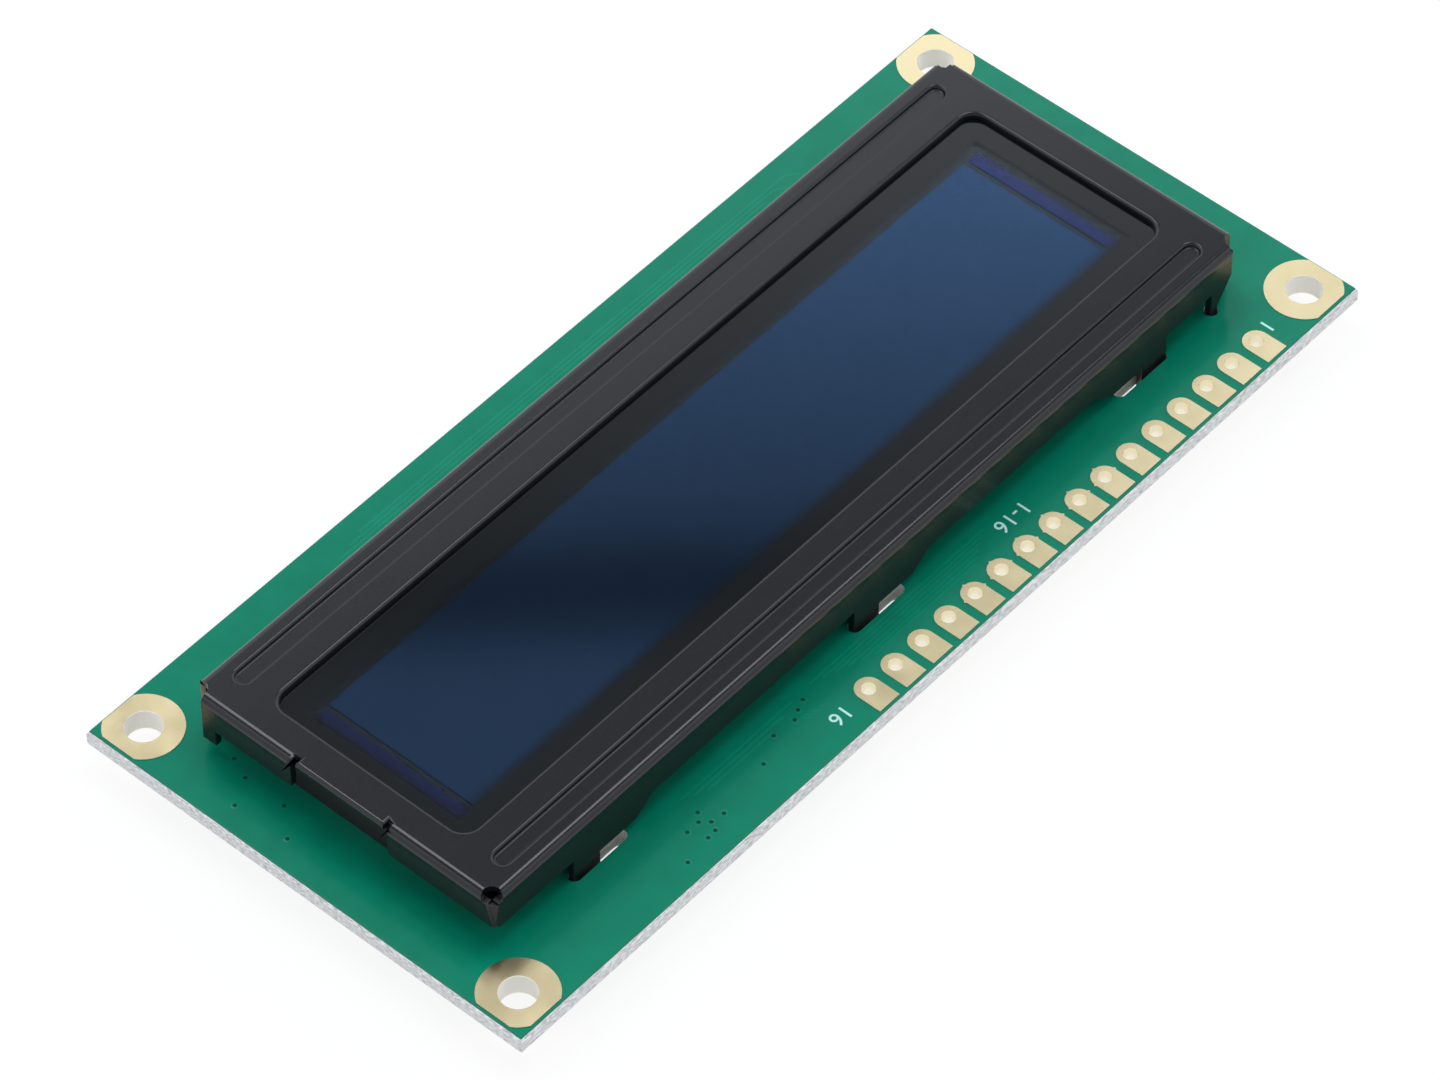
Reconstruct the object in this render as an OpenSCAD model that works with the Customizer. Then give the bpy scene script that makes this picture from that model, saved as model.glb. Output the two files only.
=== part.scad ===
// Character OLED module: a printed board that carries a sealed display panel under a folded steel bezel.
// X runs along the pin row from the first pin to the last, Y points to the pin row, Z out of the display.
// The origin lies below the middle of the board, on the plane of the tab tips that the module rests on.

/* [Board] */
// Length of the board along the pin row
board_w = 80; // [79:0.5:90]
// Depth of the board across the pin row
board_d = 36; // [35:0.5:44]
// Thickness of the board
board_t = 1.6; // [1:0.1:2.4]
// Diameter of the mounting holes
hole_d = 2.5; // [2:0.1:3]
// Distance from a mounting hole's centre to the two board edges beside it
hole_inset = 2.5; // [2.2:0.1:3]
// Diameter of the plated ring round a mounting hole
ring_d = 5.2; // [4.2:0.1:5.6]
// Thickness of the plated copper
plating_t = 0.06; // [0.03:0.01:0.1]
// Width of the sloped band that the scoring leaves along the board's edges
score_w = 0.2; // [0.1:0.02:0.24]
// Depth of the scoring from each face
score_t = 0.4; // [0.2:0.05:0.45]
// Gap between the plating and the board's edges
edge_gap = 0.28; // [0.26:0.02:0.6]

/* [Pin row] */
// Number of plated pin holes
pin_count = 16; // [8:1:18]
// Distance between neighbouring pin holes
pin_pitch = 2.54; // [2.3:0.01:2.7]
// Distance from the first pin hole to the board's short edge
pin_inset = 8; // [7.5:0.1:10]
// Distance from the pin row to the board's long edge
pin_edge = 2; // [1.6:0.1:2.4]
// Diameter of the pin holes
pin_hole_d = 1; // [0.8:0.05:1.1]
// Width of a land
land_w = 1.85; // [1.5:0.05:2.1]
// First land with a pointed inner end
tip_first = 7; // [1:1:8]
// Last land with a pointed inner end
tip_last = 12; // [8:1:18]
// Reach of the point past the round end
tip_reach = 0.12; // [0.05:0.01:0.25]

/* [Bezel] */
// Length of the bezel outside
bezel_w = 71.1; // [62:0.1:72]
// Depth of the bezel outside
bezel_d = 25.1; // [22:0.1:26]
// Height of the bezel's top above the board
bezel_h = 4.7; // [4.3:0.1:6]
// Shift of the bezel from the board's middle, along the pin row
bezel_shift_x = 0.6; // [-1:0.05:1]
// Shift of the bezel from the board's middle, towards the pin row
bezel_shift_y = -0.2; // [-1:0.05:1]
// Thickness of the sheet
sheet_t = 0.5; // [0.3:0.05:0.6]
// Outer radius of the folds
fold_r = 0.6; // [0.55:0.05:0.8]
// Width of the rim between the window and the end walls' outer faces
rim_x = 2.6; // [2.3:0.1:5]
// Width of the rim between the window and the long walls' outer faces
rim_y = 4.55; // [4.4:0.05:6]
// Radius of the window's corners
window_r = 1.2; // [0.5:0.1:3]
// Diameter of the round relief in each corner of the folds
relief_d = 1.3; // [1.1:0.05:1.5]
// Distance of the relief's middle inside the outer faces
relief_inset = 0.45; // [0.4:0.05:0.5]
// Gap between the ends of neighbouring walls in a closed corner
seam_gap = 0.06; // [0.05:0.01:0.3]
// Distance of a bead's middle from the long wall's outer face
bead_inset = 1.9; // [1.8:0.05:2.1]
// Width of a bead at the sheet's face
bead_w = 1.25; // [1.2:0.05:1.5]
// Width of a bead's flat floor
bead_floor_w = 1.05; // [0.5:0.05:1.15]
// Distance of a bead's end from the short wall's outer face
bead_end = 2.4; // [2:0.1:6]

/* [Bezel walls] */
// Gap between the board and the long walls
wall_gap = 1.8; // [1.2:0.1:2.1]
// Gap between the board and the end walls
end_gap = 2.2; // [1.4:0.1:2.6]
// Width of the flat tongue in the middle of the short side next to the last pin
tongue_w = 7.25; // [4:0.05:10]
// Width of the notch beside the tongue
notch_w = 0.35; // [0.25:0.05:1]
// Distance of the tongue's edge inside the end wall's outer face
tongue_inset = 0.05; // [0:0.05:0.5]
// Width of the finger at the open end of each end wall
finger_w = 1.1; // [0.6:0.1:2]
// Gap between the board and the finger
finger_gap = 0.9; // [0.5:0.1:1.3]
// Width of a locating foot
foot_w = 0.7; // [0.5:0.05:1]
// Distance of a locating foot from the end wall's outer face
foot_inset = 2.75; // [2.5:0.05:4]
// Depth that a locating foot reaches into the board
foot_reach = 0.8; // [0.4:0.1:0.9]
// Gap between the board and the sloped edge beside a locating foot
foot_gap = 0.3; // [0.2:0.05:0.6]

/* [Bezel tabs] */
// Distance from the end walls that sets the tab slots' pitch
slot_end = 9.7; // [8.5:0.1:14]
// Shift of the middle slot from the bezel's middle
slot_shift = 0.25; // [-1:0.05:1]
// Length of a tab slot
slot_l = 5; // [4.5:0.1:6]
// Width of a tab slot
slot_w = 0.95; // [0.85:0.05:1.4]
// Width of a tab
tab_w = 2.4; // [1.8:0.1:2.8]
// Distance of a tab's outer edge from its slot's end
tab_end = 0.15; // [0.1:0.05:0.4]
// Reach of the tabs below the board
tab_reach = 1.8; // [1.6:0.1:3]
// Twist of the tabs below the board, in degrees
tab_twist = 38; // [20:1:60]
// Gap between the board and the shoulder beside a tab
shoulder_gap = 0.6; // [0.3:0.1:0.7]
// Length of the shoulder beside a tab
shoulder_l = 3.2; // [2:0.1:5]
// Length of the slope from the shoulder up to the wall
slope_l = 1.6; // [0.5:0.1:3]

/* [Panel] */
// Thickness of the polariser
polariser_t = 0.28; // [0.15:0.01:0.4]
// Overlap of the polariser under the window's rim
polariser_lap = 1.2; // [0.6:0.1:1.4]
// Thickness of the clear bond under the polariser and of the gap over the electrodes
bond_t = 0.02; // [0.01:0.01:0.05]
// Thickness of the front glass
glass_t = 0.7; // [0.5:0.05:1.1]
// Clearance of the front glass inside the bezel's walls
glass_fit = 0.3; // [0.3:0.05:0.5]
// Distance of the electrode field inside the window's short sides
field_inset_x = 3; // [2.8:0.1:6]
// Distance of the electrode field inside the window's long sides
field_inset_y = 1.9; // [1.5:0.1:4]
// Thickness of the electrode films
film_t = 0.05; // [0.02:0.01:0.06]
// Width of a lead band
band_w = 0.9; // [0.4:0.1:1]
// Distance of a lead band's ends inside the field's long sides
band_inset = 0.1; // [0:0.05:1]
// Gap between the field and a lead band
band_gap = 0.4; // [0.2:0.05:0.5]
// Thickness of the edge seal
seal_t = 0.12; // [0.1:0.01:0.2]
// Width of the edge seal
seal_w = 1.2; // [0.8:0.1:1.4]
// Distance of the seal inside the cover glass's edge
seal_inset = 0.2; // [0.1:0.05:0.3]
// Distance of the cover glass inside the front glass's short sides
cover_inset_x = 0.9; // [0.6:0.1:1.4]
// Distance of the cover glass inside the front glass's long sides
cover_inset_y = 3; // [2.8:0.1:3.6]
// Thickness of the cover glass
cover_t = 1.1; // [0.7:0.05:1.2]
// Depth of the pocket in the cover glass
pocket_t = 0.4; // [0.3:0.05:0.5]
// Thickness of the desiccant sheet
desiccant_t = 0.2; // [0.1:0.02:0.28]
// Distance of the desiccant sheet inside the pocket's walls
desiccant_inset = 3.2; // [0.5:0.1:4]

/* [Contact strips] */
// Distance of a strip's ends inside the holder's short sides
strip_end = 3.1; // [1:0.1:8]
// Distance of a strip's middle from the long wall's outer face
strip_inset = 2.3; // [2.2:0.05:2.5]
// Width of an elastomer strip
strip_w = 1.4; // [1:0.1:1.6]
// Clearance of a strip in its holder
strip_fit = 0.1; // [0.05:0.05:0.2]
// Distance of the holder inside the bezel's end walls
holder_inset_x = 1; // [0.6:0.1:1.4]
// Distance of the holder inside the bezel's long walls
holder_inset_y = 0.7; // [0.4:0.05:0.75]
// Width of the ledge under the cover glass
ledge_w = 1.8; // [1:0.1:3]

/* [Back of the board] */
// Diameter of the resin over the controller
glob_d = 16; // [10:0.5:18]
// Height of the resin over the controller
glob_h = 1.3; // [0.8:0.1:1.5]
// Length of a chip part
chip_l = 1.6; // [1.4:0.1:1.8]
// Width of a chip part
chip_w = 0.8; // [0.6:0.05:0.9]
// Length of a chip part's metal end
chip_end = 0.35; // [0.2:0.05:0.5]
// Height of a chip resistor
resistor_h = 0.45; // [0.3:0.05:0.6]
// Height of a chip capacitor
capacitor_h = 0.8; // [0.5:0.05:0.9]
// Distance between neighbouring chip parts
chip_pitch = 2.2; // [1.6:0.1:2.5]
// Diameter of the inductor's base
inductor_d = 4; // [3:0.1:4.4]
// Height of the inductor
inductor_h = 1.4; // [1:0.1:1.5]
// Diameter of the inductor's top flange
inductor_top_d = 3.6; // [3.4:0.1:4]
// Diameter of the inductor's spool
spool_d = 2; // [1.4:0.1:2.6]
// Diameter of the inductor's winding
winding_d = 3.3; // [2.8:0.1:3.4]
// Thickness of the inductor's flanges
flange_t = 0.3; // [0.2:0.05:0.4]
// Length of the converter's body
converter_l = 2.9; // [2.6:0.1:3.2]
// Width of the converter's body
converter_w = 1.6; // [1.4:0.1:1.8]
// Height of the converter's body
converter_h = 1.1; // [0.9:0.05:1.3]
// Width of a converter lead
converter_lead_w = 0.4; // [0.3:0.05:0.5]
// Distance between neighbouring converter leads
converter_lead_pitch = 0.95; // [0.8:0.05:1]
// Length of the diode's body
diode_l = 2.7; // [2.4:0.1:3]
// Width of the diode's body
diode_w = 1.6; // [1.3:0.1:1.8]
// Height of the diode's body
diode_h = 1.1; // [0.9:0.05:1.3]
// Width of a diode lead
diode_lead_w = 0.9; // [0.6:0.1:1.2]
// Inward slope of a moulded body's upper half
draft = 0.12; // [0.05:0.01:0.2]
// Thickness of the stamped leads
lead_t = 0.15; // [0.1:0.01:0.2]
// Reach of a lead past its body
lead_reach = 0.55; // [0.4:0.05:0.7]

/* [Hidden] */
$fn = 64;
// Room between a plated barrel and the board
plating_fit = 0.01;
// Room round a locating foot in its hole
foot_fit = 0.15;
// Room between the inductor's spool and its winding
winding_fit = 0.02;
// Overlap that joins two shapes of one piece
join = 0.2;

// Levels above the plane of the tab tips
board_low = tab_reach;
board_top = board_low + board_t;

// Levels above the board's face
sheet_low = bezel_h - sheet_t;
bead_t = polariser_t + bond_t;
glass_top = sheet_low - bead_t;
glass_low = glass_top - glass_t;
cover_top = glass_low - seal_t;
cover_low = cover_top - cover_t;

// Board places
hole_x = board_w / 2 - hole_inset;
hole_y = board_d / 2 - hole_inset;
pin_x = -board_w / 2 + pin_inset;
pin_y = board_d / 2 - pin_edge;

// Bezel places, measured from the bezel's middle
wall_x = bezel_w / 2;
wall_y = bezel_d / 2;
wall_end = sheet_t + seam_gap;
// In an open corner the walls end where the relief does
corner_open = relief_inset + relief_d / 2;
wall_top = bezel_h - fold_r;
bead_y = wall_y - bead_inset;
bead_l = bezel_w - 2 * bead_end;
window_w = bezel_w - 2 * rim_x;
window_d = bezel_d - 2 * rim_y;
tab_room = slot_l / 2 - tab_end - tab_w / 2;
slot_pitch = wall_x - slot_end;
// Each slot's place along the wall and the side of it that the tab takes
slots = [[slot_shift + slot_pitch, 1], [slot_shift, 1], [slot_shift - slot_pitch, -1]];
foot_x = -(wall_x - foot_inset);
foot_hole_d = foot_w + 2 * foot_fit;

// Panel sizes
glass_w = bezel_w - 2 * sheet_t - 2 * glass_fit;
glass_d = bezel_d - 2 * sheet_t - 2 * glass_fit;
cover_w = glass_w - 2 * cover_inset_x;
cover_d = glass_d - 2 * cover_inset_y;
field_w = window_w - 2 * field_inset_x;
field_d = window_d - 2 * field_inset_y;
band_d = field_d - 2 * band_inset;
pocket_w = cover_w - 2 * seal_inset - 2 * seal_w;
pocket_d = cover_d - 2 * seal_inset - 2 * seal_w;
holder_w = bezel_w - 2 * sheet_t - 2 * holder_inset_x;
holder_d = bezel_d - 2 * sheet_t - 2 * holder_inset_y;
strip_y = wall_y - strip_inset;
strip_l = holder_w - 2 * strip_end;

// Places on the back of the board: [x, y, turn]
glob_at = [-9, -1];
resistors_at = [for (i = [0:5]) [5 + i * chip_pitch, 6.5, 90]];
capacitors_at = [for (i = [0:3]) [5 + i * chip_pitch, -6.5, 90]];
inductor_at = [24, -4];
converter_at = [18.5, 0];
diode_at = [24, 3];

// A rectangle with round corners
module rounded(w, d, r) {
    square([w - 2 * r, d], center = true);
    square([w, d - 2 * r], center = true);
    for (x = [-1, 1], y = [-1, 1])
        translate([x * (w / 2 - r), y * (d / 2 - r)]) circle(r);
}

// A slot outline with half-round ends
module slot_outline(l, w) {
    square([l - w, w], center = true);
    for (s = [-1, 1])
        translate([s * (l - w) / 2, 0]) circle(d = w);
}

// A flat slab with its middle at the origin and its lower face at z
module slab(w, d, z, t) {
    translate([-w / 2, -d / 2, z]) cube([w, d, t]);
}

// Side view of a block, its lower and upper edges sloped back over the height cut_t
module block_outline(w, t, low_cut, high_cut, cut_t) {
    polygon([[-w / 2 + low_cut, 0], [w / 2 - low_cut, 0], [w / 2, cut_t], [w / 2, t - cut_t],
             [w / 2 - high_cut, t], [-w / 2 + high_cut, t], [-w / 2, t - cut_t], [-w / 2, cut_t]]);
}

// Block with the same sloped edges on all four sides
module sloped_block(w, d, t, low_cut, high_cut, cut_t) {
    intersection() {
        translate([-w / 2, 0, 0]) rotate([90, 0, 90])
            linear_extrude(w) block_outline(d, t, low_cut, high_cut, cut_t);
        translate([0, d / 2, 0]) rotate([90, 0, 0])
            linear_extrude(d) block_outline(w, t, low_cut, high_cut, cut_t);
    }
}

// Moves to the bezel's middle on the board's face
module on_board() {
    translate([bezel_shift_x, bezel_shift_y, board_top]) children();
}

// Repeats the bezel's half for its other half, which is the same half turned round
module both_halves() {
    for (turn = [0, 180])
        rotate([0, 0, turn]) children();
}

// Moves to the back of the board, with Z pointing away from it
module on_back(place) {
    translate([place[0], place[1], board_low])
        rotate([180, 0, 0]) rotate([0, 0, len(place) > 2 ? place[2] : 0]) children();
}

module at_mounting_holes() {
    for (x = [-1, 1], y = [-1, 1])
        translate([x * hole_x, y * hole_y, 0]) children();
}

module at_pins() {
    for (i = [1:pin_count])
        translate([pin_x + (i - 1) * pin_pitch, pin_y, 0]) {
            $pin = i;
            children();
        }
}

// Board

module tab_slots() {
    for (slot = slots)
        translate([slot[0], wall_y - sheet_t / 2]) slot_outline(slot_l, slot_w);
    translate([foot_x, wall_y - sheet_t / 2]) circle(d = foot_hole_d);
}

module circuit_board() {
    color("seagreen")
    translate([0, 0, board_low])
    difference() {
        sloped_block(board_w, board_d, board_t, score_w, score_w, score_t);
        translate([0, 0, -board_t]) linear_extrude(3 * board_t) {
            at_mounting_holes() circle(d = hole_d);
            at_pins() circle(d = pin_hole_d + 2 * (plating_t + plating_fit));
            translate([bezel_shift_x, bezel_shift_y]) both_halves() tab_slots();
        }
    }
}

// A plated barrel through the board with a land of the child's outline on both faces
module plated(bore_d) {
    difference() {
        union() {
            for (z = [board_low - plating_t, board_top])
                translate([0, 0, z]) linear_extrude(plating_t) children();
            translate([0, 0, board_low]) cylinder(d = bore_d + 2 * plating_t, h = board_t);
        }
        translate([0, 0, board_low - 2 * plating_t])
            cylinder(d = bore_d, h = board_t + 4 * plating_t);
    }
}

module land_outline(pointed) {
    circle(d = land_w);
    translate([-land_w / 2, 0]) square([land_w, pin_edge - edge_gap]);
    if (pointed)
        rotate(45) square((land_w / 2 + tip_reach) * sqrt(2), center = true);
}

module connector_lands() {
    color("khaki")
    at_pins()
        plated(pin_hole_d) land_outline($pin >= tip_first && $pin <= tip_last);
}

// Rings on both faces, cut flat where they would come too near the board's edges
module mounting_rings() {
    color("khaki")
    for (z = [board_low - plating_t, board_top])
        translate([0, 0, z]) linear_extrude(plating_t)
            intersection() {
                at_mounting_holes()
                    difference() {
                        circle(d = ring_d);
                        circle(d = hole_d);
                    }
                square([board_w - 2 * edge_gap, board_d - 2 * edge_gap], center = true);
            }
}

// Bezel

// Section of a fold: a quarter ring and the top of its wall, drawn from the fold's outer face at x = 0
module fold_section() {
    translate([-fold_r, wall_top])
        intersection() {
            difference() {
                circle(fold_r);
                circle(fold_r - sheet_t);
            }
            square(fold_r);
        }
    translate([-sheet_t, wall_top - join]) square([sheet_t, join]);
}

// Long wall between a closed and an open corner, seen along Y: shoulders, tabs and a foot at its lower edge
module long_wall_outline() {
    closed = wall_x - wall_end;
    open = wall_x - corner_open;
    polygon([[-open, wall_top], [closed, wall_top], [closed, wall_gap], [foot_x, wall_gap],
             [foot_x, foot_gap], [foot_x - foot_w / 2, foot_gap], [-open, end_gap]]);
    for (slot = slots)
        translate([slot[0], 0]) mirror([slot[1] > 0 ? 0 : 1, 0]) tab_outline();
    translate([foot_x - foot_w / 2, -foot_reach]) square([foot_w, wall_gap + foot_reach + join]);
}

// Tab at one end of its slot with the shoulder that covers the slot's open end
module tab_outline() {
    inner = tab_room - tab_w / 2;
    translate([inner, -board_t]) square([tab_w, board_t + wall_gap + join]);
    polygon([[inner + join, shoulder_gap], [inner - shoulder_l, shoulder_gap],
             [inner - shoulder_l - slope_l, wall_gap], [inner - shoulder_l - slope_l, wall_gap + join],
             [inner + join, wall_gap + join]]);
}

module long_wall() {
    translate([corner_open - wall_x, wall_y, 0]) rotate([90, 0, 90])
        linear_extrude(bezel_w - corner_open - wall_end) fold_section();
    translate([0, wall_y, 0]) rotate([90, 0, 0]) linear_extrude(sheet_t) long_wall_outline();
    for (slot = slots)
        translate([slot[0] + slot[1] * tab_room, wall_y - sheet_t / 2, -board_t]) mirror([0, 0, 1])
            linear_extrude(tab_reach, twist = tab_twist, slices = 8, segments = 4)
                square([tab_w, sheet_t], center = true);
}

// End wall with a slanted end in a closed corner and a finger in an open corner, seen along X
module end_wall_outline() {
    open = wall_y - corner_open;
    finger = finger_w - open;
    polygon([[-open, wall_top], [wall_y - wall_end, wall_top], [wall_y, end_gap], [finger, end_gap],
             [finger, finger_gap], [-open, finger_gap]]);
}

module end_wall() {
    translate([wall_x, wall_y - wall_end, 0]) rotate([90, 0, 0])
        linear_extrude(bezel_d - corner_open - wall_end) fold_section();
    translate([wall_x - sheet_t, 0, 0]) rotate([90, 0, 90]) linear_extrude(sheet_t) end_wall_outline();
}

// Room in the end wall for the tongue and the notches beside it
module tongue_room() {
    translate([wall_x - fold_r, -tongue_w / 2 - notch_w, -join])
        cube([2 * fold_r, tongue_w + 2 * notch_w, bezel_h + 2 * join]);
}

module tongue() {
    translate([0, -tongue_w / 2, sheet_low]) cube([wall_x - tongue_inset, tongue_w, sheet_t]);
}

// Bead with round ends and sloped sides, its floor at z
module bead(floor_w, face_w, z, t) {
    run = bead_l - bead_w;
    for (x = [-run / 2, run / 2])
        translate([x, bead_y, z]) cylinder(d1 = floor_w, d2 = face_w, h = t);
    translate([-run / 2, bead_y, z]) rotate([90, 0, 90]) linear_extrude(run)
        polygon([[-floor_w / 2, 0], [floor_w / 2, 0], [face_w / 2, t], [-face_w / 2, t]]);
}

module bezel() {
    color("#303034")
    on_board()
    difference() {
        union() {
            slab(bezel_w - 2 * fold_r, bezel_d - 2 * fold_r, sheet_low, sheet_t);
            tongue();
            rotate([0, 0, 180]) end_wall();
            difference() {
                end_wall();
                tongue_room();
            }
            both_halves() {
                long_wall();
                bead(bead_floor_w + bead_t, bead_w + bead_t, glass_top, bead_t + join);
            }
        }
        both_halves() bead(bead_floor_w, bead_w, bezel_h - bead_t, bead_t);
        translate([0, 0, glass_top]) linear_extrude(bezel_h) rounded(window_w, window_d, window_r);
        for (x = [-1, 1], y = [-1, 1])
            translate([x * (wall_x - relief_inset), y * (wall_y - relief_inset), wall_top])
                cylinder(d = relief_d, h = bezel_h);
    }
}

// Panel

module polariser() {
    color("#202124")
    on_board()
    translate([0, 0, glass_top + bond_t])
    linear_extrude(polariser_t)
    rounded(window_w + 2 * polariser_lap, window_d + 2 * polariser_lap, polariser_lap / 2);
}

module front_glass() {
    color("lightsteelblue", 0.4)
    on_board() slab(glass_w, glass_d, glass_low, glass_t);
}

module electrode_field() {
    color("#2c4a75")
    on_board() slab(field_w, field_d, glass_low - bond_t - film_t, film_t);
}

module lead_bands() {
    color("#34347a")
    on_board()
    for (s = [-1, 1])
        translate([s * (field_w / 2 + band_gap + band_w / 2), 0, 0])
            slab(band_w, band_d, glass_low - bond_t - film_t, film_t);
}

module edge_seal() {
    color("#151515")
    on_board()
    difference() {
        slab(cover_w - 2 * seal_inset, cover_d - 2 * seal_inset, cover_top, seal_t);
        slab(pocket_w, pocket_d, cover_top - seal_t, 3 * seal_t);
    }
}

module cover_glass() {
    color("#1c1d20")
    on_board()
    difference() {
        slab(cover_w, cover_d, cover_low, cover_t);
        slab(pocket_w, pocket_d, cover_top - pocket_t, 2 * pocket_t);
    }
}

module desiccant_sheet() {
    color("whitesmoke")
    on_board()
    slab(pocket_w - 2 * desiccant_inset, pocket_d - 2 * desiccant_inset, cover_top - pocket_t, desiccant_t);
}

// Contact strips

module elastomer_strips() {
    color("#3a3a3a")
    on_board()
    for (s = [-1, 1])
        translate([0, s * strip_y, 0]) slab(strip_l, strip_w, 0, glass_low);
}

module elastomer_holder() {
    color("#222222")
    on_board()
    difference() {
        slab(holder_w, holder_d, 0, cover_low);
        slab(cover_w - 2 * ledge_w, cover_d - 2 * ledge_w, -cover_low, 3 * cover_low);
        for (s = [-1, 1])
            translate([0, s * strip_y, 0])
                slab(strip_l + 2 * strip_fit, strip_w + 2 * strip_fit, -cover_low, 3 * cover_low);
    }
}

// Back of the board

// Dome with the outline of a ball's cap
module controller_glob() {
    ball_r = (pow(glob_d / 2, 2) + pow(glob_h, 2)) / (2 * glob_h);
    color("#161616")
    on_back(glob_at)
    rotate_extrude($fn = 96)
    intersection() {
        translate([0, glob_h - ball_r]) circle(ball_r, $fn = 720);
        square([glob_d, 2 * glob_h]);
    }
}

module chip_bodies(places, h) {
    for (place = places)
        on_back(place) slab(chip_l - 2 * chip_end, chip_w, 0, h);
}

module chip_ends(places, h) {
    for (place = places)
        on_back(place)
            for (s = [-1, 1])
                translate([s * (chip_l - chip_end) / 2, 0, 0]) slab(chip_end, chip_w, 0, h);
}

module resistor_bodies() {
    color("#1a1a1a") chip_bodies(resistors_at, resistor_h);
}

module resistor_ends() {
    color("gainsboro") chip_ends(resistors_at, resistor_h);
}

module capacitor_bodies() {
    color("#8a6a48") chip_bodies(capacitors_at, capacitor_h);
}

module capacitor_ends() {
    color("gainsboro") chip_ends(capacitors_at, capacitor_h);
}

// Drum core: two flanges on a spool, standing on its terminals
module inductor_core() {
    color("#2b2b2e")
    on_back(inductor_at) translate([0, 0, lead_t]) {
        cylinder(d = inductor_d, h = flange_t);
        cylinder(d = spool_d, h = inductor_h - lead_t);
        translate([0, 0, inductor_h - lead_t - flange_t]) cylinder(d = inductor_top_d, h = flange_t);
    }
}

module inductor_winding() {
    color("#b06a3a")
    on_back(inductor_at)
    translate([0, 0, lead_t + flange_t])
    difference() {
        cylinder(d = winding_d, h = inductor_h - lead_t - 2 * flange_t);
        translate([0, 0, -inductor_h]) cylinder(d = spool_d + 2 * winding_fit, h = 3 * inductor_h);
    }
}

module inductor_terminals() {
    color("gainsboro")
    on_back(inductor_at)
    for (s = [-1, 1])
        translate([s * inductor_d / 3, 0, 0]) slab(inductor_d / 4, inductor_d / 2, 0, lead_t);
}

// Moulded body with a sloped upper half, raised off the board by the thickness of its leads
module moulded_body(l, w, h) {
    translate([0, 0, lead_t])
        sloped_block(l, w, h - lead_t, 0, draft, (h - lead_t) / 2);
}

// Stamped lead with a foot on the board and a riser to the body's side
module stamped_lead(lead_w, reach, rise) {
    translate([0, -lead_w / 2, 0]) cube([reach, lead_w, lead_t]);
    translate([0, -lead_w / 2, 0]) cube([lead_t, lead_w, rise]);
}

module converter_body() {
    color("#1b1b1b")
    on_back(converter_at) moulded_body(converter_l, converter_w, converter_h);
}

module converter_leads() {
    color("gainsboro")
    on_back(converter_at)
    for (side = [-1, 1], i = [-1:1])
        if (side < 0 || i != 0)
            translate([i * converter_lead_pitch, side * converter_w / 2, 0])
                rotate([0, 0, 90 * side]) stamped_lead(converter_lead_w, lead_reach, converter_h / 2);
}

module diode_body() {
    color("#1b1b1b")
    on_back(diode_at) moulded_body(diode_l, diode_w, diode_h);
}

module diode_leads() {
    color("gainsboro")
    on_back(diode_at)
    for (turn = [0, 180])
        rotate([0, 0, turn]) translate([diode_l / 2, 0, 0])
            stamped_lead(diode_lead_w, lead_reach, diode_h / 2);
}

circuit_board();
connector_lands();
mounting_rings();
bezel();
polariser();
front_glass();
electrode_field();
lead_bands();
edge_seal();
cover_glass();
desiccant_sheet();
elastomer_strips();
elastomer_holder();
controller_glob();
resistor_bodies();
resistor_ends();
capacitor_bodies();
capacitor_ends();
inductor_core();
inductor_winding();
inductor_terminals();
converter_body();
converter_leads();
diode_body();
diode_leads();
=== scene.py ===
import math

import bmesh
import bpy
from mathutils import Matrix, Vector


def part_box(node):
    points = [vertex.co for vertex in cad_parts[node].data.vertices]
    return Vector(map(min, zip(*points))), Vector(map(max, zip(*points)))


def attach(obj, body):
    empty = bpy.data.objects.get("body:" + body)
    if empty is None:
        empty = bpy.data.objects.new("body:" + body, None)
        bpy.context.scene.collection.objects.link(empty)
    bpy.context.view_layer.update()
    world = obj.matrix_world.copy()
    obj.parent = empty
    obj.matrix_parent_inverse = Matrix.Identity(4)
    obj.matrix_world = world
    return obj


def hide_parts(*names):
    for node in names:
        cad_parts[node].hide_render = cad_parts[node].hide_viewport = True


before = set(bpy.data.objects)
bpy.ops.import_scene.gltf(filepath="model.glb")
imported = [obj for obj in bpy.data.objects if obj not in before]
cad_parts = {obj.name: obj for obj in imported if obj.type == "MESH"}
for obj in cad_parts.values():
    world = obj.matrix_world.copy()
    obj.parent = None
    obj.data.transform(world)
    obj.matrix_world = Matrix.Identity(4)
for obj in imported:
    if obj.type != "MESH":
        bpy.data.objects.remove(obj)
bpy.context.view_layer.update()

# Circuit board: a snapped panel of glass fibre with a glossy green mask on both faces.
# The faces are coated, and the scored edges and the cut holes show the bare pale fibre, painted paler in the
# holes as painted light.
MM = 0.001
BOARD_LOW, BOARD_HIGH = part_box("circuit_board")
BOARD_TOP = BOARD_HIGH.z
BOARD_MID_Z = (BOARD_LOW.z + BOARD_HIGH.z) / 2
BOARD_HALF_T = (BOARD_HIGH.z - BOARD_LOW.z) / 2
EDGE_COAT = 0.15 * MM
EDGE_FROM = 0.985
FACE_LEVEL = 0.95
SLOPE_LEVEL = 0.3
MASK_GREENS = (0.001, 0.178, 0.104), (0.002, 0.227, 0.134)
EDGE_FIBRES = (0.50, 0.49, 0.48), (0.92, 0.91, 0.89)
HOLE_FIBRES_PAINTED_LIGHT = (0.94, 0.92, 0.87), (0.98, 0.96, 0.91)
MASK_INDEX = 1.33
MASK_ROUGH = 0.15
FIBRE_ROUGH = 0.75
FIBRE_SPAN = 0.38, 0.62
FIBRE_DEEP = 0.09 * MM
FIBRE_STRENGTH = 0.6
MASK_RIPPLE = 0.02
HOLE_RIPPLE = 0.2


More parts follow.
